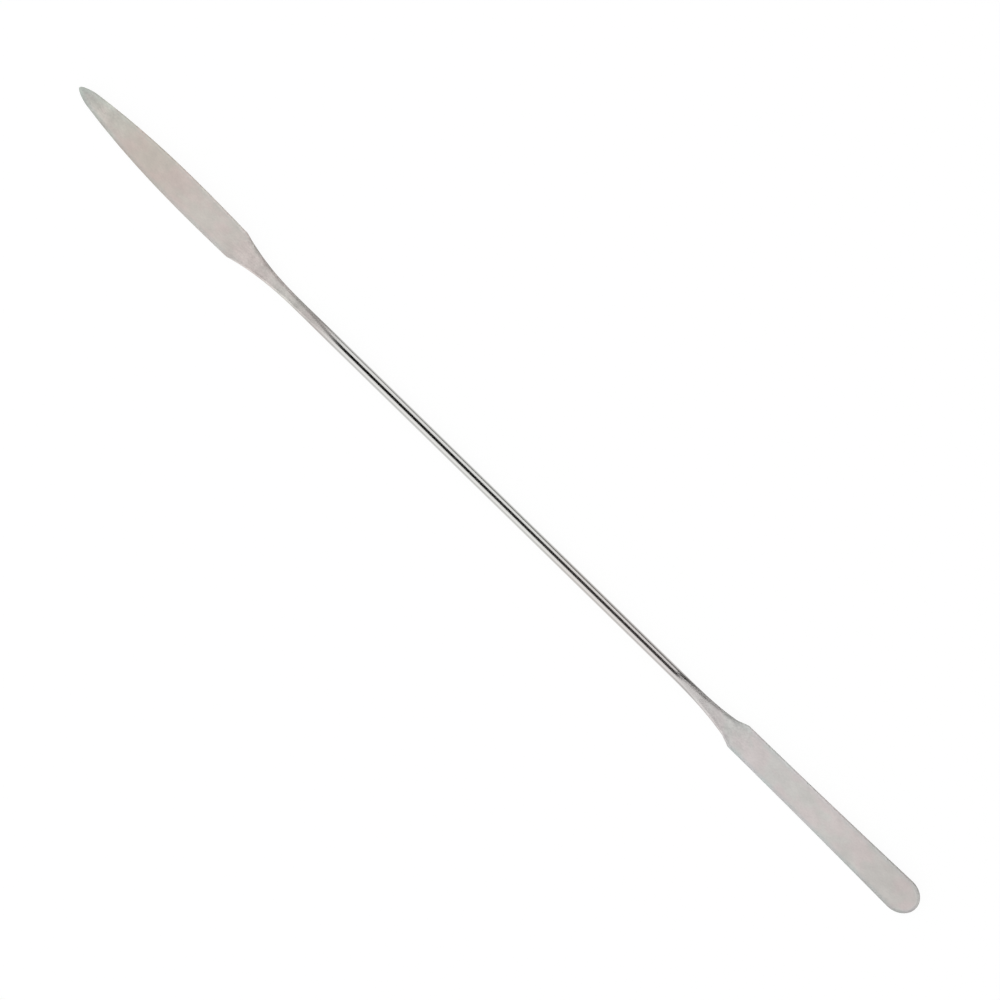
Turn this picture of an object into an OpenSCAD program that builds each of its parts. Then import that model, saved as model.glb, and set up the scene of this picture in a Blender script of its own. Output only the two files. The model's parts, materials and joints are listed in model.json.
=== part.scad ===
// Double-ended laboratory spatula, made in one piece from a length of round stainless steel wire.
// Each end is pressed flat and its outline is ground: a long lancet blade with a small rounded nose
// at -X, and a nearly parallel blade with a round end at +X. The wire between them is the handle.
// It lies on z = 0, on its wire and on the lower edge of a blade, so the blades are rolled about +X.
// All sizes are in millimetres and all angles are in degrees.

/* [Wire handle] */
// Diameter of the round wire
wire_d = 2; // [1.5:0.1:2.6]
// Length of the stretch that stays round, between the two necks
wire_l = 78; // [40:0.5:140]

/* [Lancet blade] */
// Length of the blade, from its nose to its shoulder
lancet_l = 38; // [30:0.5:60]
// Width where the blade is widest
lancet_w = 5.9; // [4.4:0.1:9]
// Distance from the nose to the widest place
lancet_widest_l = 28; // [15:0.5:29]
// Width at the shoulder, where the neck begins
lancet_shoulder_w = 5.6; // [3:0.1:8]
// Width that the two long flanks would have at the very end, if the nose weren't rounded
lancet_nose_w = 1.8; // [1:0.1:3]
// Length over which the nose is rounded
lancet_nose_l = 3.1; // [1:0.1:6]
// Thickness of the blade at its shoulder
lancet_t = 0.45; // [0.3:0.05:1]
// Thickness at the nose, towards which the blade is ground thinner
lancet_nose_t = 0.3; // [0.2:0.05:0.6]
// How far the nose stands to one side of the wire's line, towards +Y
lancet_lean = 0.56; // [0:0.02:1]

/* [Lancet neck] */
// Length of the neck, from the shoulder to the round wire
lancet_neck_l = 26.1; // [20:0.1:40]
// Length of the curved flare, from the shoulder to the waist
lancet_flare_l = 16; // [8:0.5:18]
// Width of the waist, the narrowest place
lancet_waist_w = 1.88; // [1.2:0.02:2.4]
// Thickness that the neck tapers from, on its way to the thickness of the blade
lancet_neck_t = 0.86; // [0.5:0.02:1.2]
// Length over which the round wire is drawn down to the thickness of the neck
lancet_draw_l = 10.5; // [4:0.5:16]

/* [Round-ended blade] */
// Length of the blade, from its shoulder to its round end
round_l = 42.2; // [30:0.1:70]
// Width where the blade is widest, just before the round end
round_w = 6.25; // [4.4:0.05:10]
// Width at the shoulder, where the neck begins
round_shoulder_w = 5.3; // [4:0.1:8]
// Length over which the end is rounded
round_end_l = 3.7; // [2:0.1:6]
// Thickness of the blade
round_t = 0.5; // [0.3:0.05:1]
// How far the whole blade stands to one side of the wire's line, towards -Y
round_offset = 0.22; // [0:0.02:1]

/* [Round-ended blade's neck] */
// Length of the neck, from the shoulder to the round wire
round_neck_l = 15.7; // [12:0.1:30]
// Length of the straight, steep cheeks beside the shoulder
round_cheek_l = 2.1; // [1:0.1:6]
// Width where the cheeks meet the slender flare
round_cheek_w = 3.7; // [2.6:0.1:4]
// Thickness that the neck tapers from, on its way to the thickness of the blade
round_neck_t = 0.96; // [0.5:0.02:1.2]
// Length over which the round wire is drawn down to the thickness of the neck
round_draw_l = 7; // [4:0.5:10]

/* [Hidden] */

// How full each long curve is: at 1 it is a straight line, and the more, the later it turns
flank_power = 2.3; // from the widest place of the lancet to its nose
side_power = 1.6; // along the nearly parallel sides of both blades
flare_power = 2.6; // from the waist of the lancet's neck to its shoulder
slender_power = 2.9; // from the wire to the cheeks of the other neck
lean_power = 1.2; // of the lean, from the lancet's neck to its nose

edge_steps = 16; // sides in the half circle of each long edge
end_steps = 12; // sections along a rounded end
blade_steps = 6; // sections along a short stretch of a blade, and half of those along a long one
neck_steps = 10; // the same, for a neck
wire_fn = 96;
seam_turn = 3; // from the lowest line of the wire to its seam, towards +Y

lap = 0.5; // length of each neck that lies inside the wire
seat = 0.01; // depth of the neck's surface below the wire's, where the two meet
least_flat = 0.005; // half of the least flat that parts the two rounded edges of a section

wire_r = wire_d / 2;
neck_r = wire_r - seat;
overall_l = lancet_l + lancet_neck_l + wire_l + round_neck_l + round_l;
lean_l = lancet_l + lancet_flare_l / 2;

function part_way(from, to, share) = from + (to - from) * share;

// A share kept between 0 and 1
function kept(share) = min(max(share, 0), 1);

// A share that leaves 0 and reaches 1 with no slope
function eased(share) = let (s = kept(share)) s * s * (3 - 2 * s);

// A quarter ellipse that rises from 0 at a tip to 1 at the distance l from it
function rounded(u, l) = sqrt(1 - pow(1 - kept(u / l), 2));

// In the functions below, u is the distance from the tip of that end, along the wire's line.

// Half of the thickness of an end whose blade, neck and drawn-down stretch have these lengths.
// It is tip_t thick at its tip and blade_t at its shoulder, and its neck tapers from neck_t.
function half_thickness(u, blade_l, neck_l, draw_l, tip_t, blade_t, neck_t) =
    let (
        past_shoulder = u - blade_l,
        blade = part_way(tip_t, blade_t, kept(u / blade_l)),
        tapered = part_way(blade, neck_t, kept(past_shoulder / neck_l)) / 2
    )
    part_way(neck_r, tapered, eased((neck_l - past_shoulder) / draw_l)) * rounded(u, tip_t / 2);

function lancet_half_t(u) = half_thickness(
    u, lancet_l, lancet_neck_l, lancet_draw_l, lancet_nose_t, lancet_t, lancet_neck_t
);

function round_half_t(u) =
    half_thickness(u, round_l, round_neck_l, round_draw_l, round_t, round_t, round_neck_t);

function lancet_half_w(u) =
    let (
        past_widest = u - lancet_widest_l,
        past_shoulder = u - lancet_l,
        past_waist = past_shoulder - lancet_flare_l,
        flank = pow(kept(1 - u / lancet_widest_l), flank_power),
        side = pow(kept(past_widest / (lancet_l - lancet_widest_l)), side_power),
        flare = pow(kept(1 - past_shoulder / lancet_flare_l), flare_power),
        waist = eased(past_waist / (lancet_neck_l - lancet_flare_l))
    )
    past_widest < 0 ? part_way(lancet_w, lancet_nose_w, flank) / 2 * rounded(u, lancet_nose_l)
    : past_shoulder < 0 ? part_way(lancet_w, lancet_shoulder_w, side) / 2
    : past_waist < 0 ? part_way(lancet_waist_w, lancet_shoulder_w, flare) / 2
    : part_way(lancet_waist_w / 2, neck_r, waist);

function round_half_w(u) =
    let (
        past_shoulder = u - round_l,
        past_cheek = past_shoulder - round_cheek_l,
        side = pow(kept(-past_shoulder / (round_l - round_end_l)), side_power),
        flare = pow(kept(1 - past_cheek / (round_neck_l - round_cheek_l)), slender_power)
    )
    past_shoulder < 0 ? part_way(round_shoulder_w, round_w, side) / 2 * rounded(u, round_end_l)
    : past_cheek < 0 ? part_way(round_shoulder_w, round_cheek_w, past_shoulder / round_cheek_l) / 2
    : part_way(neck_r, round_cheek_w / 2, flare);

// Where the middle of the lancet's width lies, across the wire's line
function lancet_mid(u) = lancet_lean * pow(kept(1 - u / lean_l), lean_power);

// Where the middle of the other blade's width lies. Its neck carries it over from the wire.
function round_mid(u) = round_offset * eased(1 - (u - round_l) / round_neck_l);

// A section's place, half width, half thickness and middle. A section always keeps a little flat.
function sizes(u, half_w, half_t, mid) = [u, half_w, min(half_t, half_w - least_flat), mid];

// Distances from one place to another, the second of them included
function even_steps(from, to, count) = [for (i = [1:count]) part_way(from, to, i / count)];

// Distances along a rounded end, closer together towards its tip
function end_distances(l) = [for (i = [1:end_steps]) l * (1 - cos(90 * i / end_steps))];

lancet_sizes = [
    for (u = [
        each end_distances(lancet_nose_l),
        each even_steps(lancet_nose_l, lancet_widest_l, 2 * blade_steps),
        each even_steps(lancet_widest_l, lancet_l, blade_steps),
        each even_steps(lancet_l, lancet_l + lancet_flare_l, neck_steps),
        each even_steps(lancet_l + lancet_flare_l, lancet_l + lancet_neck_l, neck_steps),
        lancet_l + lancet_neck_l + lap
    ])
    sizes(u, lancet_half_w(u), lancet_half_t(u), lancet_mid(u))
];

round_sizes = [
    for (u = [
        each end_distances(round_end_l),
        each even_steps(round_end_l, round_l, 2 * blade_steps),
        each even_steps(round_l, round_l + round_cheek_l, 2),
        each even_steps(round_l + round_cheek_l, round_l + round_neck_l, 2 * neck_steps),
        round_l + round_neck_l + lap
    ])
    sizes(u, round_half_w(u), round_half_t(u), round_mid(u))
];

// How far the spatula rolls about its wire before the lower edge of this section meets the table.
// The lower edge is on the side towards which the section's middle counts as positive if side is 1,
// and on the other if it is -1.
function roll_to_table(s, side) =
    let (drop = wire_r - s[2], reach = s[1] - s[2] + side * s[3])
    reach > drop ? asin(drop / reach) : 90;

rest_roll = min(concat(
    [for (s = lancet_sizes) roll_to_table(s, -1)],
    [for (s = round_sizes) roll_to_table(s, 1)]
));

// The corners of a flat section with fully rounded long edges and level flats, from sizes().
// They run counterclockwise seen from +X.
function corners(s) =
    [
        for (side = [1, -1]) for (i = [0:edge_steps])
            let (a = side * (180 * i / edge_steps - 90))
            [s[0], s[3] + side * (s[1] - s[2] + s[2] * cos(a)), s[2] * sin(a)]
    ];

// The skin through a row of sections, closed by a point at the tip and by the last section
module flattened_end(rows) {
    ring = 2 * (edge_steps + 1);
    tip = len(rows) * ring;
    next = function (i) (i + 1) % ring;
    polyhedron(
        points = [for (s = rows) each corners(s), [0, rows[0][3], 0]],
        faces = [
            for (i = [0:ring - 1]) [tip, i, next(i)],
            for (k = [0:ring:tip - 2 * ring]) for (i = [0:ring - 1]) each [
                [k + i, k + ring + i, k + ring + next(i)],
                [k + i, k + ring + next(i), k + next(i)]
            ],
            [for (i = [1:ring]) tip - i]
        ]
    );
}

module lancet_end() {
    translate([-overall_l / 2, 0, 0]) flattened_end(lancet_sizes);
}

module round_wire() {
    translate([lancet_l + lancet_neck_l - overall_l / 2, 0, 0])
        rotate([seam_turn, 0, 0]) rotate([0, 90, 0]) cylinder(h = wire_l, r = wire_r, $fn = wire_fn);
}

// Turned half round, so that its middle, which counts as positive, stands towards -Y
module round_end() {
    rotate([0, 0, 180]) translate([-overall_l / 2, 0, 0]) flattened_end(round_sizes);
}

module spatula() {
    color("silver") translate([0, 0, wire_r]) union() {
        round_wire();
        rotate([rest_roll, 0, 0]) {
            lancet_end();
            round_end();
        }
    }
}

spatula();
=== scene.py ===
"""The looks of a double-ended laboratory spatula, forged and ground from stainless steel wire.

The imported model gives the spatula's length, the radius of its wire and the roll at which it lies.
Its skin is one surface from tip to tip: a flat section with fully rounded edges is carried along
the wire's line, while its width, its thickness and its middle change by the formulas of each end.
The wire is polished, the blades are ground to a satin finish, and each neck passes from one to the
other.
"""
import json
import logging
import math
from dataclasses import dataclass, field
from enum import Enum
from typing import Any, Sequence, Union

import bpy
import numpy as np
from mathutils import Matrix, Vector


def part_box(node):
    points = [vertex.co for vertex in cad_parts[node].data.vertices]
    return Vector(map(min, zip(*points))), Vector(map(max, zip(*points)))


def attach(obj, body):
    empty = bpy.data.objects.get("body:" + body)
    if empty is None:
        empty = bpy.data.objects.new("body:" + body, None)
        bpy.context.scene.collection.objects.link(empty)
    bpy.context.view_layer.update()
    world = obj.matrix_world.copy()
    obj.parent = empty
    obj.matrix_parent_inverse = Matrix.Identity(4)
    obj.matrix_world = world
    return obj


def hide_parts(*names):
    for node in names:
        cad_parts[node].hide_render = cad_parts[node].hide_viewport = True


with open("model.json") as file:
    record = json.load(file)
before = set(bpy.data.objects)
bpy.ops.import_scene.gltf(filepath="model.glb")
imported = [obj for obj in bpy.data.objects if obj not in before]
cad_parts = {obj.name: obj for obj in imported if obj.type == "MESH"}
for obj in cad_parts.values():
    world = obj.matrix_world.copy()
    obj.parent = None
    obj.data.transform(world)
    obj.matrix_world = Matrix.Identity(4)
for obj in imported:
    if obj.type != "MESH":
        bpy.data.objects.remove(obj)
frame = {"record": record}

LOG = logging.getLogger("spatula")
MM = 0.001

Array = np.ndarray
Span = tuple[float, float]
Triple = tuple[float, float, float]
Color = tuple[float, float, float, float]


def linked(name: str, data: bpy.types.ID) -> bpy.types.Object:
    """Makes an object of this data and links it to the scene, at the origin.

    Args:
        name: The object's name.
        data: Its mesh, lamp or camera.

    Returns:
        The object.
    """
    piece = bpy.data.objects.new(name, data)
    bpy.context.scene.collection.objects.link(piece)
    return piece


# ------------------------------------------------------------------ formulas shared by both ends


def kept(share: Array) -> Array:
    """A share kept between 0 and 1."""
    return np.clip(share, 0.0, 1.0)


def eased(share: Array) -> Array:
    """A share that leaves 0 and reaches 1 with no slope: three squares less two cubes."""
    return kept(share) ** 2 * (3.0 - 2.0 * kept(share))


def part_way(start: Any, end: Any, share: Array) -> Array:
    """The value that lies the share of the way from start to end."""
    return start + (end - start) * share


def rounded(distance: Array, length: float) -> Array:
    """A quarter ellipse that rises from 0 at a tip to 1 at the length from it."""
    return np.sqrt(1.0 - (1.0 - kept(distance / length)) ** 2)


def tip_steps(length: float, count: int) -> Array:
    """Distances from just past a tip up to length, closer together towards the tip."""
    return length * (1.0 - np.cos(np.linspace(0.0, math.pi / 2, count + 1)[1:]))


def even_steps(start: float, end: float, spacing: float) -> Array:
    """Even distances from start to end, no further apart than spacing, with start left out."""
    count = max(1, math.ceil((end - start) / spacing - 1e-6))
    return np.linspace(start, end, count + 1)[1:]


# ------------------------------------------------------------------ the two flattened ends


@dataclass
class FlattenedEnd:
    """A blade and its neck. Distances run from the blade's tip along the wire's line, in mm.

    Attributes:
        blade_length: From the tip to the shoulder.
        neck_length: From the shoulder to the round wire.
        draw_length: Over which the round wire is drawn down to the neck's thickness.
        tip_thickness: Of the blade at its tip.
        blade_thickness: Of the blade at its shoulder.
        neck_thickness: From which the neck tapers to the blade's thickness.
        rounding: Length over which the tip's outline is rounded.
        wire_radius: Of the round wire that the neck runs into.
        blade_softness: How far in the blade's long edges are rounded, in half thicknesses.
        neck_softness: The same for the neck, which eases from it to the round wire.
    """

    blade_length: float
    neck_length: float
    draw_length: float
    tip_thickness: float
    blade_thickness: float
    neck_thickness: float
    rounding: float
    wire_radius: float
    blade_softness: float = field(default=1.1, kw_only=True)
    neck_softness: float = field(default=1.5, kw_only=True)

    @property
    def length(self) -> float:
        """From the tip to the round wire."""
        return self.blade_length + self.neck_length

    def breaks(self) -> list[float]:
        """Distances at which the outline turns, each of which needs a section of its own."""
        raise NotImplementedError

    def half_width(self, u: Array) -> Array:
        """Half of the width at the distances u."""
        raise NotImplementedError

    def middle(self, u: Array) -> Array:
        """How far the middle of the width stands from the wire's line, towards +Y."""
        raise NotImplementedError

    def half_thickness(self, u: Array) -> Array:
        """Half of the thickness.

        The blade thickens evenly from its tip to its shoulder. The neck goes on evenly to its own
        thickness, and over the drawn-down stretch it eases into the wire's radius. A quarter
        ellipse as long as half of the tip's thickness closes the tip.

        Args:
            u: Distances from the tip.

        Returns:
            Half of the thickness at each distance.
        """
        past_shoulder = u - self.blade_length
        blade = part_way(self.tip_thickness, self.blade_thickness, kept(u / self.blade_length))
        tapered = part_way(blade, self.neck_thickness, kept(past_shoulder / self.neck_length)) / 2
        drawn = eased((self.neck_length - past_shoulder) / self.draw_length)
        return part_way(self.wire_radius, tapered, drawn) * rounded(u, self.tip_thickness / 2)

    def softness(self, u: Array) -> Array:
        """How far in the long edges are rounded, in half thicknesses, with 1 for the round wire.

        Past the shoulder it eases from the blade's softness to the neck's, and over the drawn-down
        stretch it eases from that to 1.

        Args:
            u: Distances from the tip.

        Returns:
            The softness at each distance.
        """
        past_shoulder = u - self.blade_length
        onto_neck = eased(past_shoulder / self.draw_length)
        flat = part_way(self.blade_softness, self.neck_softness, onto_neck)
        return part_way(1.0, flat, eased((self.neck_length - past_shoulder) / self.draw_length))

    def distances(self, tip_count: int, blade_spacing: float, neck_spacing: float) -> Array:
        """Distances of the sections, from just past the tip to the round wire.

        Args:
            tip_count: Sections in the rounded tip.
            blade_spacing: Greatest distance between two sections of the blade.
            neck_spacing: The same, for the neck.

        Returns:
            The distances, with one at each break of the outline.
        """
        rows = [tip_steps(self.rounding, tip_count)]
        marks = [self.rounding, *self.breaks(), self.length]
        for start, end in zip(marks, marks[1:]):
            spacing = blade_spacing if end <= self.blade_length else neck_spacing
            rows.append(even_steps(start, end, spacing))
        return np.concatenate(rows)


@dataclass
class LancetEnd(FlattenedEnd):
    """The long pointed blade, whose nose leans to one side, and its waisted neck.

    Attributes:
        width: Of the blade at its widest place.
        widest: From the tip to the widest place.
        shoulder_width: Where the neck begins.
        nose_width: Between the two flanks at the very tip, if it weren't rounded.
        flare_length: From the shoulder to the waist.
        waist_width: Of the narrowest place.
        lean: How far the nose stands from the wire's line, towards +Y.
        lean_length: From the tip to where the lean ends.
        flank_power: How full the outline is from the widest place to the nose.
        side_power: The same, from the widest place to the shoulder.
        flare_power: The same, from the waist to the shoulder.
        lean_power: The same for the lean.
    """

    blade_length: float = 38.0
    neck_length: float = 26.1
    draw_length: float = 10.5
    tip_thickness: float = 0.3
    blade_thickness: float = 0.45
    neck_thickness: float = 0.86
    rounding: float = 3.1
    wire_radius: float = 1.0
    width: float = 5.9
    widest: float = 28.0
    shoulder_width: float = 5.6
    nose_width: float = 1.8
    flare_length: float = 16.0
    waist_width: float = 1.88
    lean: float = 0.56
    lean_length: float = 46.0
    flank_power: float = 2.3
    side_power: float = 1.6
    flare_power: float = 2.6
    lean_power: float = 1.2

    def breaks(self) -> list[float]:
        """The widest place, the shoulder and the waist."""
        return [self.widest, self.blade_length, self.blade_length + self.flare_length]

    def half_width(self, u: Array) -> Array:
        """Half of the width.

        From the nose to the widest place the width grows from the nose's to the full one, and what
        is missing falls as a power of the way that is left. A quarter ellipse rounds the nose. The
        sides then draw in to the shoulder and the flare to the waist as powers of the way. The last
        stretch eases from the waist to the wire's radius.

        Args:
            u: Distances from the tip.

        Returns:
            Half of the width at each distance.
        """
        past_shoulder = u - self.blade_length
        past_waist = past_shoulder - self.flare_length
        flank = kept(1.0 - u / self.widest) ** self.flank_power
        side = kept((u - self.widest) / (self.blade_length - self.widest)) ** self.side_power
        flare = kept(1.0 - past_shoulder / self.flare_length) ** self.flare_power
        waist = eased(past_waist / (self.neck_length - self.flare_length))
        return np.select(
            [u < self.widest, past_shoulder < 0.0, past_waist < 0.0],
            [
                part_way(self.width, self.nose_width, flank) / 2 * rounded(u, self.rounding),
                part_way(self.width, self.shoulder_width, side) / 2,
                part_way(self.waist_width, self.shoulder_width, flare) / 2,
            ],
            part_way(self.waist_width / 2, self.wire_radius, waist),
        )

    def middle(self, u: Array) -> Array:
        """The lean, which falls as a power of the way that is left to the middle of the flare."""
        return self.lean * kept(1.0 - u / self.lean_length) ** self.lean_power


@dataclass
class RoundEnd(FlattenedEnd):
    """The nearly parallel blade with a round end, its steep cheeks and its slender neck.

    Attributes:
        width: Of the blade where the rounding of its end begins.
        shoulder_width: Where the neck begins.
        cheek_length: Of the straight, steep stretch beside the shoulder.
        cheek_width: Where the cheeks meet the slender neck.
        offset: How far the whole blade stands from the wire's line, towards -Y.
        side_power: How full the outline is from the round end to the shoulder.
        slender_power: The same, from the wire to the cheeks.
    """

    blade_length: float = 42.2
    neck_length: float = 15.7
    draw_length: float = 7.0
    tip_thickness: float = 0.5
    blade_thickness: float = 0.5
    neck_thickness: float = 0.96
    rounding: float = 3.7
    wire_radius: float = 1.0
    width: float = 6.25
    shoulder_width: float = 5.3
    cheek_length: float = 2.1
    cheek_width: float = 3.7
    offset: float = 0.22
    side_power: float = 1.6
    slender_power: float = 2.9
    neck_softness: float = field(default=1.7, kw_only=True)

    def breaks(self) -> list[float]:
        """The shoulder and the place where the cheeks meet the slender neck."""
        return [self.blade_length, self.blade_length + self.cheek_length]

    def half_width(self, u: Array) -> Array:
        """Half of the width.

        The width falls from its greatest, where the end's rounding begins, to the shoulder's as a
        power of the way. A quarter ellipse rounds the end. The cheeks are straight, and from them
        the width falls to the wire's radius as a power of the way that is left.

        Args:
            u: Distances from the tip.

        Returns:
            Half of the width at each distance.
        """
        past_shoulder = u - self.blade_length
        past_cheek = past_shoulder - self.cheek_length
        side = kept(-past_shoulder / (self.blade_length - self.rounding)) ** self.side_power
        cheek = past_shoulder / self.cheek_length
        slender = kept(1.0 - past_cheek / (self.neck_length - self.cheek_length))
        return np.select(
            [past_shoulder < 0.0, past_cheek < 0.0],
            [
                part_way(self.shoulder_width, self.width, side) / 2 * rounded(u, self.rounding),
                part_way(self.shoulder_width, self.cheek_width, cheek) / 2,
            ],
            part_way(self.wire_radius, self.cheek_width / 2, slender**self.slender_power),
        )

    def middle(self, u: Array) -> Array:
        """The offset towards -Y, which the neck takes on with an ease between wire and shoulder."""
        return -self.offset * eased(1.0 - (u - self.blade_length) / self.neck_length)


# ------------------------------------------------------------------ the whole skin


@dataclass
class Sections:
    """Rows of sections, all in mm.

    Attributes:
        x: Place along the wire's line.
        half_width: Half of each section's width.
        half_thickness: Half of each section's thickness.
        rounding: How far in each of its two edges is rounded.
        middle: How far its middle stands towards +Y.
    """

    x: Array
    half_width: Array
    half_thickness: Array
    rounding: Array
    middle: Array


@dataclass
class Spatula:
    """The whole spatula, from the lancet's nose at -X to the round end at +X.

    Attributes:
        lancet: The pointed end.
        round_end: The other end.
        length: Overall length in mm.
        wire_radius: In mm.
        roll: How far the blades are rolled about the wire, in radians, +Y edge up.
        columns: Vertices round each section, a multiple of four.
        edge_weight: How much closer the vertices stand on the rounded edges than on the flats.
        least_flat: Half of the flat that parts the two rounded edges of every section, in mm.
        tip_count: Sections in each rounded tip.
        blade_spacing: Greatest distance between two sections of a blade, in mm.
        neck_spacing: The same, for a neck.
        wire_spacing: The same, for the wire.
    """

    lancet: LancetEnd
    round_end: RoundEnd
    length: float
    wire_radius: float
    roll: float
    columns: int = 128
    edge_weight: float = 2.5
    least_flat: float = 0.001
    tip_count: int = 36
    blade_spacing: float = 0.4
    neck_spacing: float = 0.25
    wire_spacing: float = 2.0

    def sections(self) -> Sections:
        """Joins the rows of the lancet, the wire and the round end into one, from -X to +X.

        Returns:
            The sections, each with at least the least flat.
        """
        lancet, round_end, half = self.lancet, self.round_end, self.length / 2
        spacings = (self.tip_count, self.blade_spacing, self.neck_spacing)
        left = lancet.distances(*spacings)
        right = round_end.distances(*spacings)[::-1]
        wire = even_steps(lancet.length - half, half - round_end.length, self.wire_spacing)[:-1]
        one = np.ones_like(wire)
        radius = self.wire_radius * one

        def joined(left_part: Array, wire_part: Array, right_part: Array) -> Array:
            """The values of both ends and of the wire between them, from -X to +X."""
            return np.concatenate([left_part, wire_part, right_part])

        width = joined(lancet.half_width(left), radius, round_end.half_width(right))
        thickness = joined(lancet.half_thickness(left), radius, round_end.half_thickness(right))
        softness = joined(lancet.softness(left), one, round_end.softness(right))
        most = width - self.least_flat
        thickness = np.minimum(thickness, most)
        return Sections(
            x=joined(left - half, wire, half - right),
            half_width=width,
            half_thickness=thickness,
            rounding=np.minimum(softness * thickness, most),
            middle=joined(lancet.middle(left), 0.0 * one, round_end.middle(right)),
        )

    def skin(self, rows: Sections) -> tuple[Array, Array]:
        """Carries the section round and along.

        Round a section, a quarter runs from the outermost point of an edge to the middle of a flat:
        first a quarter ellipse as high as the half thickness and as wide as the rounding, then the
        straight flat. Vertices stand evenly along it, with the ellipse's length counted edge_weight
        times. The other three quarters mirror it.

        Each point's distance from the outline is its distance from the outline's tangent at that
        section, or from the tip where that is nearer.

        Args:
            rows: The sections.

        Returns:
            Points as rows x columns x 3, unrolled about the wire's axis, and the distance of each
            from the outline, in mm.
        """
        turn = 4.0 * np.arange(self.columns) / self.columns
        way = 1.0 - np.abs(1.0 - turn % 2.0)
        side = np.where((turn > 1.0) & (turn < 3.0), -1.0, 1.0)
        level = np.where(turn > 2.0, -1.0, 1.0)

        width = rows.half_width[:, None]
        height = rows.half_thickness[:, None]
        rounding = rows.rounding[:, None]
        arc = self.edge_weight * (height + rounding) * math.pi / 4
        flat = width - rounding
        run = way[None, :] * (arc + flat)
        angle = kept(run / arc) * math.pi / 2
        across = flat + rounding * np.cos(angle) - np.maximum(run - arc, 0.0)
        x = np.broadcast_to(rows.x[:, None], across.shape)
        y = rows.middle[:, None] + side * across
        slope = np.gradient(rows.half_width, rows.x)[:, None]
        to_tip = self.length / 2 - np.abs(rows.x)[:, None]
        to_edge = np.minimum((width - across) / np.sqrt(1.0 + slope**2), to_tip)
        return np.stack([x, y, level * height * np.sin(angle)], axis=2), to_edge

    def place(self, points: Array) -> Array:
        """Rolls points about the wire's axis, lifts them onto the table and turns mm into metres.

        Args:
            points: Unrolled points in mm, whose last axis is x, y and z.

        Returns:
            The points as they lie, in metres.
        """
        x, y, z = np.moveaxis(points, -1, 0)
        sine, cosine = math.sin(self.roll), math.cos(self.roll)
        lifted = self.wire_radius + y * sine + z * cosine
        return np.stack([x, y * cosine - z * sine, lifted], axis=-1) * MM

    def faces(self, row_count: int) -> tuple[Array, Array]:
        """Quads between neighbouring rows, and the triangles that close both tips.

        Args:
            row_count: Number of sections.

        Returns:
            The quads and the triangles as arrays of vertex numbers, facing outwards.
        """
        here = np.arange(self.columns)
        after = (here + 1) % self.columns
        row = self.columns * np.arange(row_count - 1)[:, None]
        following = row + self.columns
        quads = np.stack([row + here, row + after, following + after, following + here], axis=2)
        nose = row_count * self.columns
        last = nose - self.columns
        caps = np.concatenate(
            [
                np.stack([np.full_like(here, nose), after, here], axis=1),
                np.stack([np.full_like(here, nose + 1), last + here, last + after], axis=1),
            ]
        )
        return quads.reshape(-1, 4)[:, ::-1], caps[:, ::-1]

    def build(self, name: str) -> bpy.types.Object:
        """Makes the mesh with its attribute and links the object at the origin.

        Args:
            name: The object's name.

        Returns:
            The object.
        """
        rows = self.sections()
        points, to_edge = self.skin(rows)
        tips = np.array(
            [
                [-self.length / 2, self.lancet.middle(np.array(0.0)), 0.0],
                [self.length / 2, self.round_end.middle(np.array(0.0)), 0.0],
            ]
        )
        points = self.place(np.concatenate([points.reshape(-1, 3), tips]))
        quads, caps = self.faces(len(rows.x))
        mesh = bpy.data.meshes.new(name)
        mesh.from_pydata(points, [], quads.tolist() + caps.tolist())
        mesh.polygons.foreach_set("use_smooth", np.ones(len(mesh.polygons), bool))
        attribute = mesh.attributes.new("to_edge", "FLOAT", "POINT")
        distances = np.append(to_edge.ravel(), [0.0, 0.0])
        attribute.data.foreach_set("value", distances.astype(np.float32))
        mesh.update()
        return linked(name, mesh)


# ------------------------------------------------------------------ shader expressions


Number = Union[float, "Signal"]


class Signal:
    """A number that varies over a surface. Arithmetic on it adds Math nodes."""

    def __init__(self, sheet: "NodeSheet", socket: bpy.types.NodeSocket) -> None:
        """Wraps an output socket of a node on the sheet."""
        self.sheet = sheet
        self.socket = socket

    def _math(self, operation: str, *operands: Number, clamp: bool = False) -> "Signal":
        """Adds one Math node.

        Args:
            operation: What the node does.
            operands: The numbers or signals that it does it to.
            clamp: Whether its result is kept between 0 and 1.

        Returns:
            The result.
        """
        settings = {"operation": operation, "use_clamp": clamp}
        node = self.sheet.node("ShaderNodeMath", settings, dict(enumerate(operands)))
        return Signal(self.sheet, node.outputs[0])

    def __add__(self, other: Number) -> "Signal":
        """This plus the other."""
        return self._math("ADD", self, other)

    __radd__ = __add__

    def __sub__(self, other: Number) -> "Signal":
        """This less the other."""
        return self._math("SUBTRACT", self, other)

    def __rsub__(self, other: Number) -> "Signal":
        """The other less this."""
        return self._math("SUBTRACT", other, self)

    def __mul__(self, other: Number) -> "Signal":
        """This times the other."""
        return self._math("MULTIPLY", self, other)

    __rmul__ = __mul__

    def __truediv__(self, other: Number) -> "Signal":
        """This divided by the other."""
        return self._math("DIVIDE", self, other)

    def __rtruediv__(self, other: Number) -> "Signal":
        """The other divided by this."""
        return self._math("DIVIDE", other, self)

    def kept(self) -> "Signal":
        """This kept between 0 and 1."""
        return self._math("ADD", self, 0.0, clamp=True)

    def eased(self, low: float, high: float) -> "Signal":
        """Eases from 0 to 1 as this goes from low to high, which may lie the other way round."""
        share = ((self - low) / (high - low)).kept()
        return share * share * (3.0 - 2.0 * share)


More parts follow.
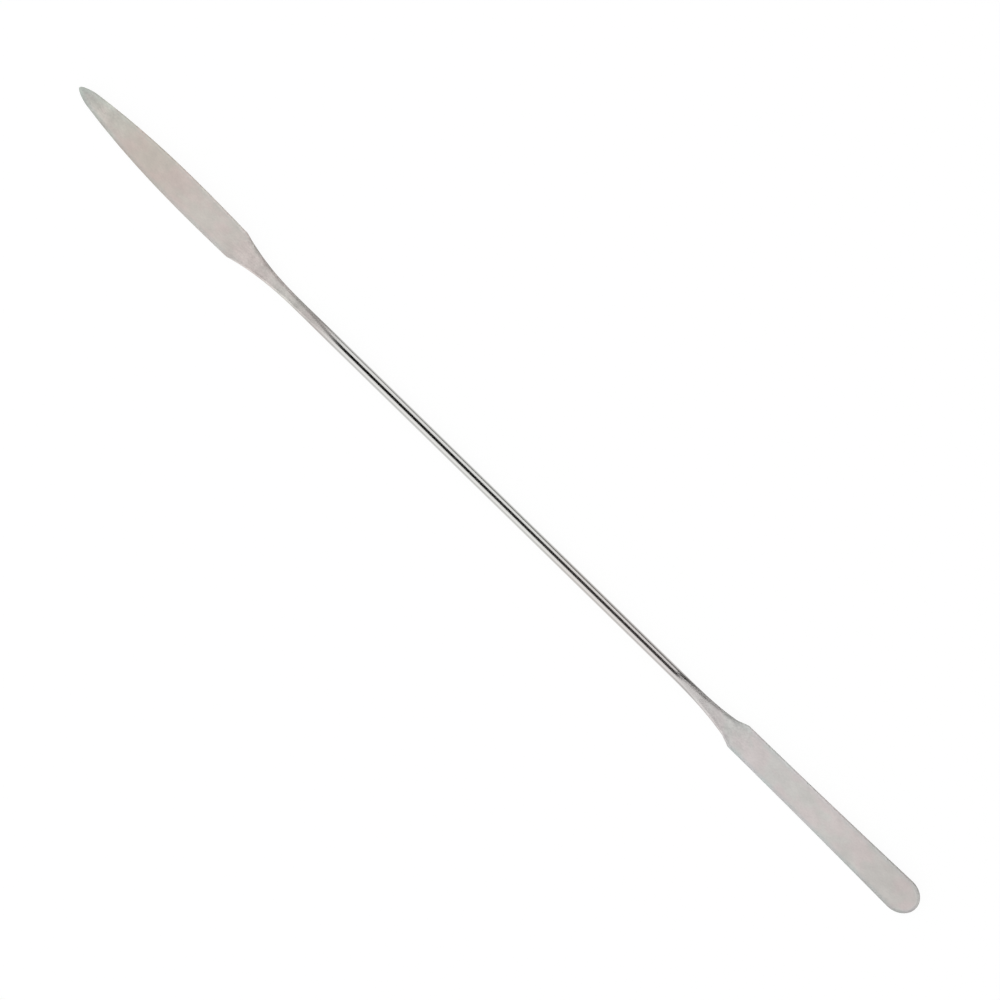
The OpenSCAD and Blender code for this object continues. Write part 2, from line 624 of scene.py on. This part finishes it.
class NodeSheet:
    """A node tree that is being written."""

    def __init__(self, tree: bpy.types.NodeTree) -> None:
        """Empties the tree."""
        tree.nodes.clear()
        self.tree = tree

    def node(self, kind: str, settings: dict[str, Any], inputs: dict[Any, Any]) -> bpy.types.Node:
        """Adds a node.

        Args:
            kind: The node's type.
            settings: Its own settings, which are set first.
            inputs: For each input, by name or number, a value, a Signal or an output socket.

        Returns:
            The node.
        """
        node = self.tree.nodes.new(kind)
        for name, value in settings.items():
            setattr(node, name, value)
        for key, value in inputs.items():
            if isinstance(value, Signal):
                value = value.socket
            if isinstance(value, bpy.types.NodeSocket):
                self.tree.links.new(value, node.inputs[key])
            else:
                node.inputs[key].default_value = value
        return node

    def attribute(self, name: str) -> Signal:
        """The number that the mesh carries under this name."""
        node = self.node("ShaderNodeAttribute", {"attribute_name": name}, {})
        return Signal(self, node.outputs["Fac"])

    def coordinates(self) -> bpy.types.NodeSocket:
        """The Object coordinates, in metres."""
        return self.node("ShaderNodeTexCoord", {}, {}).outputs["Object"]

    def noise(self, pattern: "Pattern") -> Signal:
        """Noise over the Object coordinates.

        Args:
            pattern: Its size, its detail and its start.

        Returns:
            The noise, around 0.5.
        """
        stretched = self.node(
            "ShaderNodeVectorMath",
            {"operation": "MULTIPLY_ADD"},
            {0: self.coordinates(), 1: pattern.scale, 2: pattern.start},
        )
        inputs = {
            "Vector": stretched.outputs[0],
            "Scale": 1.0,
            "Detail": pattern.detail,
            "Roughness": 0.5,
        }
        node = self.node("ShaderNodeTexNoise", {"noise_dimensions": "3D"}, inputs)
        return Signal(self, node.outputs["Fac"])

    def place(self, axis: str) -> Signal:
        """The place along one axis of the Object coordinates, in mm."""
        split = self.node("ShaderNodeSeparateXYZ", {}, {0: self.coordinates()})
        return Signal(self, split.outputs[axis]) / MM

    def blend(
        self, share: Number, first: Any, second: Any, kind: str = "MIX"
    ) -> bpy.types.NodeSocket:
        """Blends two colours.

        Args:
            share: Share of the second one.
            first: The first colour.
            second: The second colour.
            kind: MIX, or MULTIPLY for a first colour that the second one tints.

        Returns:
            The colour.
        """
        node = self.node(
            "ShaderNodeMix",
            {"data_type": "RGBA", "blend_type": kind, "clamp_factor": True},
            {0: share, 6: first, 7: second},
        )
        return node.outputs[2]

    def run(self, place: Signal, tones: Sequence["Tone"]) -> Any:
        """A colour that eases from each tone to the next one.

        Args:
            place: The place, in mm.
            tones: The tones, in order of their places.

        Returns:
            The colour at the place.
        """
        color: Any = tones[0].color
        for last, tone in zip(tones, tones[1:]):
            color = self.blend(place.eased(last.place, tone.place), color, tone.color)
        return color

    def surface(self, shader: bpy.types.Node) -> None:
        """Ends the tree with this shader as the surface."""
        self.node("ShaderNodeOutputMaterial", {}, {"Surface": shader.outputs[0]})


def new_material(name: str) -> tuple[bpy.types.Material, NodeSheet]:
    """Makes a material.

    Args:
        name: The material's name.

    Returns:
        The material and its empty tree.
    """
    material = bpy.data.materials.new(name)
    material.use_nodes = True
    return material, NodeSheet(material.node_tree)


# ------------------------------------------------------------------ finishes


def linear(red: float, green: float, blue: float) -> Color:
    """A colour with its alpha, from three linear values."""
    return (red, green, blue, 1.0)


@dataclass(frozen=True)
class Tone:
    """A colour at one place.

    Attributes:
        place: Along +X, in mm.
        color: The colour there.
    """

    place: float
    color: Color


@dataclass(frozen=True)
class Pattern:
    """A noise that is stretched along the spatula.

    Attributes:
        scale: Number of features to a metre along X, Y and Z.
        detail: Number of finer layers in it.
        start: Where it starts.
    """

    scale: Triple
    detail: float
    start: Triple


@dataclass(frozen=True)
class Zones:
    """Where on the spatula a point lies, as signals.

    Attributes:
        x: The place along it, in mm.
        to_edge: Distance from the outline, in mm.
        ground: From 0 on the polished wire to 1 on the satin necks and blades.
        blade: From 0 on the necks to 1 on the blades.
        blade_edge: From 0 on the flats to 1 on the blades' rounded edges.
        neck_edge: The same for the necks' soft edges.
        lowered: From 0 on the raised side to 1 on the lowered side.
        raised: From 0 on the lowered side to 1 on the raised side.
        grain: The fine noise, around 0.5.
        clouds: The wider one.
    """

    x: Signal
    to_edge: Signal
    ground: Signal
    blade: Signal
    blade_edge: Signal
    neck_edge: Signal
    lowered: Signal
    raised: Signal
    grain: Signal
    clouds: Signal


@dataclass(frozen=True)
class StainlessSteel:
    """Polished wire that passes into satin blades, with faint patches.

    Painted shade darkens the necks, their edges and the blades' rims, and painted highlights
    brighten the blades' raised edges and a line along the round end.

    Attributes:
        tones: Colours from the lancet's nose to the round end. The dips at the two necks are
        painted shade.
        wire_roughness: Of the polished wire.
        blade_roughness: Of the satin flats.
        edge_roughness: Of the blades' rounded edges.
        lancet_neck: Where the polish ends on the lancet's side and where the satin is full, in mm.
        round_neck: The same on the other side.
        lancet_blade: Where the lancet's neck ends and where its blade is full, in mm.
        round_blade: The same on the other side.
        across: Places along +Y between which the raised side passes into the lowered one, in mm.
        blade_edge: Distances from the outline at which the roughness and the painted highlight of
        a blade's edge start to fade and have faded, in mm.
        painted_edge_highlight: How much brighter a blade's raised edge is painted, a painted
            highlight.
        neck_edge: The same distances for a neck's edge.
        painted_lowered_neck_shade: How much darker a neck's lowered edge is painted, as painted
            shade.
        painted_raised_neck_shade: How much darker its raised edge is painted, as painted shade.
        raised_roughness: How much rougher its raised edge is.
        rim: The same distances for the painted shade on the blades' rims.
        rim_raised: Strength of the painted shade on a raised rim, where a lowered one has 1.
        rim_least: Strength of a rim's painted shade where the clouds are 0, to which they are
            added.
        rim_shade_tint: What the painted shade of a full rim multiplies the colour by.
        cool_tint: What the cooler patches multiply the colour by.
        warm_tint: The same for the warmer ones.
        patch_bounds: Values of their noise between which the cooler pass into the warmer.
        end_ring: Where the painted ring along the round end begins and where it is full, in mm.
        ring_bounds: Distances from the outline at which its painted highlight starts and stops,
            in mm.
        ring_fade: Width over which the line fades on either side, in mm.
        painted_ring_shade: How much darker the end is painted outside its highlight, as painted
            shade.
        painted_ring_highlight: How much brighter the painted highlight is.
        grain: The fine noise of the grinding.
        grain_depth: How much it changes the tone.
        clouds: The wider noise.
        cloud_depth: How much it changes the tone.
        patches: The noise of the cooler and warmer patches.
        uneven: Stretches that the pressing left less even: where each starts, is full, starts to
            fade and has faded, in mm.
        uneven_gain: How much deeper the grain and the clouds are there.
        bump_strength: How strongly the grain stands out on the blades.
        bump_height: How high it is, in metres.
    """

    tones: tuple[Tone, ...] = (
        Tone(-99.0, linear(0.615, 0.62, 0.58)),
        Tone(-94.0, linear(0.66, 0.63, 0.58)),
        Tone(-84.0, linear(0.68, 0.605, 0.55)),
        Tone(-67.0, linear(0.74, 0.68, 0.64)),
        Tone(-50.0, linear(0.715, 0.675, 0.645)),
        # Painted shade at the lancet's neck.
        Tone(-43.0, linear(0.57, 0.54, 0.52)),
        Tone(-36.0, linear(0.64, 0.635, 0.62)),
        Tone(6.0, linear(0.65, 0.65, 0.63)),
        Tone(20.0, linear(0.62, 0.595, 0.575)),
        Tone(40.0, linear(0.605, 0.575, 0.565)),
        # Painted shade at the round end's neck.
        Tone(46.0, linear(0.535, 0.515, 0.505)),
        Tone(51.0, linear(0.665, 0.65, 0.635)),
        Tone(62.0, linear(0.72, 0.69, 0.675)),
        Tone(76.0, linear(0.715, 0.68, 0.66)),
        Tone(95.0, linear(0.63, 0.59, 0.57)),
    )
    wire_roughness: float = 0.14
    blade_roughness: float = 0.34
    edge_roughness: float = 0.75
    lancet_neck: Span = (-35.0, -45.0)
    round_neck: Span = (42.0, 54.0)
    lancet_blade: Span = (-56.0, -64.0)
    round_blade: Span = (54.0, 59.0)
    across: Span = (1.0, -1.0)
    blade_edge: Span = (0.15, 0.55)
    painted_edge_highlight: float = 0.13
    neck_edge: Span = (0.3, 0.9)
    painted_lowered_neck_shade: float = 0.12
    painted_raised_neck_shade: float = 0.24
    raised_roughness: float = 0.22
    rim: Span = (0.35, 1.0)
    rim_raised: float = 0.5
    rim_least: float = 0.4
    rim_shade_tint: Color = linear(0.88, 0.94, 0.96)
    cool_tint: Color = linear(0.975, 1.0, 0.99)
    warm_tint: Color = linear(1.01, 0.975, 0.985)
    patch_bounds: Span = (0.36, 0.64)
    end_ring: Span = (95.5, 98.5)
    ring_bounds: Span = (0.6, 0.8)
    ring_fade: float = 0.1
    painted_ring_shade: float = 0.05
    painted_ring_highlight: float = 0.07
    grain: Pattern = Pattern((2200.0, 4200.0, 4200.0), 2.0, (0.0, 3.0, 0.0))
    grain_depth: float = 0.16
    clouds: Pattern = Pattern((430.0, 600.0, 600.0), 3.0, (7.0, 0.0, 2.0))
    cloud_depth: float = 0.24
    patches: Pattern = Pattern((260.0, 360.0, 360.0), 2.0, (3.0, 5.0, 1.0))
    uneven: tuple[tuple[float, float, float, float], ...] = (
        (-101.0, -100.0, -94.0, -87.0), (-64.0, -60.0, -50.0, -42.0), (46.0, 50.0, 57.0, 63.0)
    )
    uneven_gain: float = 1.5
    bump_strength: float = 0.1
    bump_height: float = 0.00002

    def zones(self, sheet: NodeSheet) -> Zones:
        """Reads where a point lies and what the two noises are there.

        Args:
            sheet: The material's tree.

        Returns:
            The zones.
        """
        x = sheet.place("X")
        to_edge = sheet.attribute("to_edge")
        ground = (x.eased(*self.lancet_neck) + x.eased(*self.round_neck)).kept()
        blade = (x.eased(*self.lancet_blade) + x.eased(*self.round_blade)).kept()
        lowered = sheet.place("Y").eased(*self.across)
        return Zones(
            x=x,
            to_edge=to_edge,
            ground=ground,
            blade=blade,
            blade_edge=blade * (1.0 - to_edge.eased(*self.blade_edge)),
            neck_edge=ground * (1.0 - blade) * (1.0 - to_edge.eased(*self.neck_edge)),
            lowered=lowered,
            raised=1.0 - lowered,
            grain=sheet.noise(self.grain),
            clouds=sheet.noise(self.clouds),
        )

    def color(self, sheet: NodeSheet, zones: Zones) -> bpy.types.NodeSocket:
        """The metal's colour: the tones, times the patches' tint, times the rims' painted shade.

        The rims' painted shade is on the blades, weaker on the raised side, and uneven as the
        clouds.

        Args:
            sheet: The material's tree.
            zones: Where the point lies.

        Returns:
            The colour, before its tone.
        """
        patches = sheet.noise(self.patches).eased(*self.patch_bounds)
        tint = sheet.blend(patches, self.cool_tint, self.warm_tint)
        color = sheet.blend(zones.ground, sheet.run(zones.x, self.tones), tint, "MULTIPLY")
        # Painted shade on the blades' rims, stronger on the lowered side.
        rim = zones.blade * (1.0 - zones.to_edge.eased(*self.rim))
        rim = rim * (self.rim_raised + (1.0 - self.rim_raised) * zones.lowered)
        rim = (rim * (self.rim_least + zones.clouds)).kept()
        return sheet.blend(rim, color, self.rim_shade_tint, "MULTIPLY")

    def mottle(self, zones: Zones) -> Signal:
        """The grain and the clouds, around 0, deeper on the uneven stretches.

        Args:
            zones: Where the point lies.

        Returns:
            What they add to the tone.
        """
        mottle = (zones.grain - 0.5) * self.grain_depth + (zones.clouds - 0.5) * self.cloud_depth
        for start, full, fading, end in self.uneven:
            stretch = zones.x.eased(start, full) - zones.x.eased(fading, end)
            mottle = mottle * (1.0 + stretch * self.uneven_gain)
        return mottle

    def ring(self, zones: Zones) -> Signal:
        """The ring along the outline of the round end: a painted highlight, with painted shade
        outside it.

        Args:
            zones: Where the point lies.

        Returns:
            What it adds to the tone.
        """
        start, stop = self.ring_bounds
        # Painted highlight on the line and painted shade outside it, on the round end only.
        outside = 1.0 - zones.to_edge.eased(start - self.ring_fade, start)
        line = (1.0 - outside) * (1.0 - zones.to_edge.eased(stop - self.ring_fade, stop))
        return zones.x.eased(*self.end_ring) * (line * self.painted_ring_highlight - outside * self.painted_ring_shade)

    def tone(self, zones: Zones) -> Signal:
        """What the colour is multiplied by: 1, with the mottle, and with the painted highlights
        and painted shade of the edges and the ring.

        Args:
            zones: Where the point lies.

        Returns:
            The tone.
        """
        tone = 1.0 + zones.ground * self.mottle(zones)
        # Painted highlight on the blades' raised edges.
        tone = tone + zones.blade_edge * zones.raised * self.painted_edge_highlight
        # Painted shade on the necks' lowered and raised edges.
        tone = tone - zones.neck_edge * zones.lowered * self.painted_lowered_neck_shade
        tone = tone - zones.neck_edge * zones.raised * self.painted_raised_neck_shade
        return tone + self.ring(zones)

    def roughness(self, zones: Zones) -> Signal:
        """From the wire's to the blades', with more on the blades' and the necks' raised edges.

        Args:
            zones: Where the point lies.

        Returns:
            The roughness.
        """
        satin = self.wire_roughness + zones.ground * (self.blade_roughness - self.wire_roughness)
        satin = satin + zones.blade_edge * (self.edge_roughness - self.blade_roughness)
        return satin + zones.neck_edge * zones.raised * self.raised_roughness

    def material(self) -> bpy.types.Material:
        """Writes the material.

        Returns:
            The material.
        """
        material, sheet = new_material("stainless_steel")
        zones = self.zones(sheet)
        shaded = sheet.node(
            "ShaderNodeVectorMath",
            {"operation": "SCALE"},
            {0: self.color(sheet, zones), "Scale": self.tone(zones)},
        )
        bump = sheet.node(
            "ShaderNodeBump",
            {},
            {
                "Strength": self.bump_strength,
                "Distance": self.bump_height,
                "Height": zones.grain * zones.blade,
            },
        )
        shader = sheet.node(
            "ShaderNodeBsdfPrincipled",
            {},
            {
                "Base Color": shaded.outputs[0],
                "Metallic": 1.0,
                "Roughness": self.roughness(zones),
                "Normal": bump.outputs[0],
            },
        )
        sheet.surface(shader)
        return material


@dataclass(frozen=True)
class WhiteTable:
    """A matt white table that shows as white, with only a faint shadow.

    Attributes:
        color: Of the matt surface.
        lit_share: How much of what is seen is plain white. The rest takes the light and the shadow.
        brightness: Of the plain white.
        reach: Distances from the wire's line at which painted shade starts to darken the mirror
            image of the table and is darkest, in mm.
        raised_dimming: How much that painted shade darkens it on the raised side.
        lowered_dimming: The same on the lowered side.
    """

    color: Color = linear(0.9, 0.9, 0.9)
    lit_share: float = 0.9
    brightness: float = 1.03
    reach: Span = (1.8, 8.0)
    raised_dimming: float = 0.55
    lowered_dimming: float = 0.25

    def material(self) -> bpy.types.Material:
        """Writes the material.

        To the camera, and in mirrors and glass, the table is mostly plain white, and otherwise it
        is matt. What the spatula mirrors of it is painted darker away from the wire's line, as
        painted shade.

        Returns:
            The material.
        """
        material, sheet = new_material("white_table")
        path = sheet.node("ShaderNodeLightPath", {}, {})
        camera, mirrored, through = (
            Signal(sheet, path.outputs[f"Is {kind} Ray"])
            for kind in ("Camera", "Glossy", "Transmission")
        )
        across = sheet.place("Y")
        near, far = self.reach
        # Painted shade on the table's mirror image, seen only in reflections.
        dimming = across.eased(near, far) * self.raised_dimming
        dimming = dimming + across.eased(-near, -far) * self.lowered_dimming
        color = sheet.blend(mirrored * dimming, linear(1.0, 1.0, 1.0), linear(0.0, 0.0, 0.0))
        matt = sheet.node("ShaderNodeBsdfDiffuse", {}, {"Color": self.color})
        plain = sheet.node("ShaderNodeEmission", {}, {"Color": color, "Strength": self.brightness})
        share = (camera + mirrored + through).kept() * self.lit_share
        mixed = sheet.node(
            "ShaderNodeMixShader", {}, {0: share, 1: matt.outputs[0], 2: plain.outputs[0]}
        )
        sheet.surface(mixed)
        return material


@dataclass(frozen=True)
class Card:
    """Matt card, whose colour changes along the spatula.

    Attributes:
        name: The material's name.
        tones: The card's colours.
    """

    name: str
    tones: tuple[Tone, ...]

    def material(self) -> bpy.types.Material:
        """Writes the material.

        Returns:
            The material.
        """
        material, sheet = new_material(self.name)
        color = sheet.run(sheet.place("X"), self.tones)
        sheet.surface(sheet.node("ShaderNodeBsdfDiffuse", {}, {"Color": color}))
        return material


# ------------------------------------------------------------------ the studio


class Side(Enum):
    """The long side of the spatula on which a stand of the studio is put."""

    RAISED = 1
    LOWERED = -1


@dataclass
class Studio:
    """A white table under even white light, with a soft box and two cards. Sizes are in metres.

    The card overhead hangs above the camera. It is dark and lightens past the round end, and it
    puts the dark line on the middle of the polished wire. The grey card stands on the raised side
    and puts a thin line near the wire's rim and a band on the necks' raised edges. Both show only
    in the metal.

    Attributes:
        table_size: Width of the table.
        table_finish: What it is covered with.
        light: Strength of the even light.
        overhead_height: Height of the card overhead.
        overhead_from: Where it starts along and across the spatula.
        overhead_to: Where it ends.
        overhead_finish: Its colours.
        side_distance: Of the card that stands on the raised side.
        side_top: Places along +X and heights of its upper edge, which rises towards the round end.
        side_finish: Its colours.
        box_angle: Of the soft box on the lowered side, from straight above, in degrees.
        box_distance: From the spatula to it.
        box_size: Its length along the spatula and its width.
        box_power: In watts.
    """

    table_size: float = 6.0
    table_finish: WhiteTable = WhiteTable()
    light: float = 1.08
    overhead_height: float = 1.0
    overhead_from: Span = (-0.30, -0.50)
    overhead_to: Span = (0.34, 0.50)
    overhead_finish: Card = Card(
        "black_card",
        (
            Tone(-10.0, linear(0.012, 0.012, 0.012)),
            Tone(45.0, linear(0.065, 0.06, 0.06)),
            Tone(160.0, linear(0.08, 0.075, 0.075)),
            Tone(340.0, linear(0.95, 0.94, 0.94)),
        ),
    )
    side_distance: float = 0.9
    side_top: tuple[Span, ...] = (
        (1.2, 1.5), (0.215, 1.5), (0.16, 0.42), (0.05, 0.30), (-0.08, 0.15), (-1.2, 0.15)
    )
    side_finish: Card = Card(
        "grey_card",
        (Tone(160.0, linear(0.2, 0.195, 0.19)), Tone(250.0, linear(0.03, 0.029, 0.028))),
    )
    box_angle: float = 61.0
    box_distance: float = 1.4
    box_size: Span = (1.6, 0.5)
    box_power: float = 0.4

    def card(self, name: str, corners: Array, material: bpy.types.Material) -> bpy.types.Object:
        """A flat stage piece between its corners.

        Args:
            name: The object's name.
            corners: Its corners in metres, in order round it.
            material: What it is made of.

        Returns:
            The object.
        """
        mesh = bpy.data.meshes.new(name)
        mesh.from_pydata(corners, [], [tuple(range(len(corners)))])
        mesh.materials.append(material)
        piece = linked(name, mesh)
        return piece

    def build(self) -> None:
        """Sets up the even light, the table, the two cards and the soft box."""
        self.surroundings()
        square = np.array([[-1, -1, 0], [1, -1, 0], [1, 1, 0], [-1, 1, 0]], float)
        self.card("table", square * self.table_size / 2, self.table_finish.material())
        self.overhead_card().visible_camera = False
        self.side_card().visible_camera = False
        self.soft_box()

    def overhead_card(self) -> bpy.types.Object:
        """The level card over the spatula.

        Returns:
            The card.
        """
        (left, front), (right, back) = self.overhead_from, self.overhead_to
        up = self.overhead_height
        corners = [(left, front, up), (left, back, up), (right, back, up), (right, front, up)]
        return self.card("overhead_card", np.array(corners), self.overhead_finish.material())

    def side_card(self) -> bpy.types.Object:
        """The upright card on the raised side, from its foot up to its sloping upper edge.

        Returns:
            The card.
        """
        away = Side.RAISED.value * self.side_distance
        foot = [(self.side_top[-1][0], away, 0.0), (self.side_top[0][0], away, 0.0)]
        corners = foot + [(x, away, height) for x, height in self.side_top]
        return self.card("side_card", np.array(corners), self.side_finish.material())

    def surroundings(self) -> None:
        """Even white light from all round."""
        world = bpy.data.worlds.new("even_light")
        world.use_nodes = True
        sheet = NodeSheet(world.node_tree)
        light = sheet.node(
            "ShaderNodeBackground", {}, {"Color": linear(1.0, 1.0, 1.0), "Strength": self.light}
        )
        sheet.node("ShaderNodeOutputWorld", {}, {"Surface": light.outputs[0]})
        bpy.context.scene.world = world

    def soft_box(self) -> None:
        """A long soft box on the lowered side, which brightens the flats and the wire's flank."""
        lamp = bpy.data.lights.new("soft_box", "AREA")
        lamp.shape = "RECTANGLE"
        lamp.size, lamp.size_y = self.box_size
        lamp.energy = self.box_power
        piece = linked("soft_box", lamp)
        angle = math.radians(self.box_angle) * Side.LOWERED.value
        direction = np.array([0.0, math.sin(angle), math.cos(angle)])
        piece.location = self.box_distance * direction
        piece.rotation_euler = (-angle, 0.0, 0.0)


@dataclass
class TopCamera:
    """A camera straight above, with the spatula along the diagonal of its square view.

    Attributes:
        view_width: Width of the view at the wire's height, in spatula lengths.
        turn: How far the view is turned, in degrees.
        aim: The point under the middle of the view, in mm.
        lens: Focal length in mm.
        clip_start: Nearest distance that it sees, in metres.
    """

    view_width: float = 0.85325
    turn: float = 44.29
    aim: Span = (0.516, 0.245)
    lens: float = 120.0
    clip_start: float = 0.01

    def build(self, length: float, height: float) -> bpy.types.Object:
        """Makes the camera and sets it as the scene's.

        Args:
            length: The spatula's length in metres.
            height: Height of the wire's axis in metres.

        Returns:
            The camera.
        """
        data = bpy.data.cameras.new("top_camera")
        data.lens = self.lens
        data.clip_start = self.clip_start
        distance = self.view_width * length * self.lens / data.sensor_width
        camera = linked("top_camera", data)
        camera.location = (self.aim[0] * MM, self.aim[1] * MM, height + distance)
        camera.rotation_euler = (0.0, 0.0, math.radians(self.turn))
        bpy.context.scene.camera = camera
        return camera


# ------------------------------------------------------------------ putting it together


def blade_roll(record: dict[str, Any]) -> float:
    """The roll of the blades about the wire, from the mount on the round-ended blade's face.

    Args:
        record: The part's record.

    Returns:
        The roll in radians, with the +Y edge up.
    """
    faces = [mount for mount in record["mounts"] if mount["kind"] == "flat_face"]
    _, across, up = faces[0]["axis"]
    return math.atan2(-across, up)


def main() -> None:
    """Builds and dresses the spatula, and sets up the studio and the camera."""
    logging.basicConfig(level=logging.INFO, format="%(name)s: %(message)s")
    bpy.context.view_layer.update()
    low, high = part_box("spatula")
    radius = (high.z - low.z) / 2 / MM

    spatula = Spatula(
        lancet=LancetEnd(wire_radius=radius),
        round_end=RoundEnd(wire_radius=radius),
        length=(high.x - low.x) / MM,
        wire_radius=radius,
        roll=blade_roll(frame["record"]),
    )
    piece = spatula.build("spatula_skin")
    piece.data.materials.append(StainlessSteel().material())
    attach(piece, "root")
    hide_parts("spatula")
    LOG.info("skin: %d vertices, %d faces", len(piece.data.vertices), len(piece.data.polygons))

    Studio().build()
    LOG.info("studio: even light, table, overhead card, side card and soft box")
    camera = TopCamera().build(spatula.length * MM, radius * MM)
    LOG.info("camera: %.3f m above the table", camera.location.z)

    bpy.context.scene.view_settings.view_transform = "Standard"


if __name__ == "__main__":
    main()
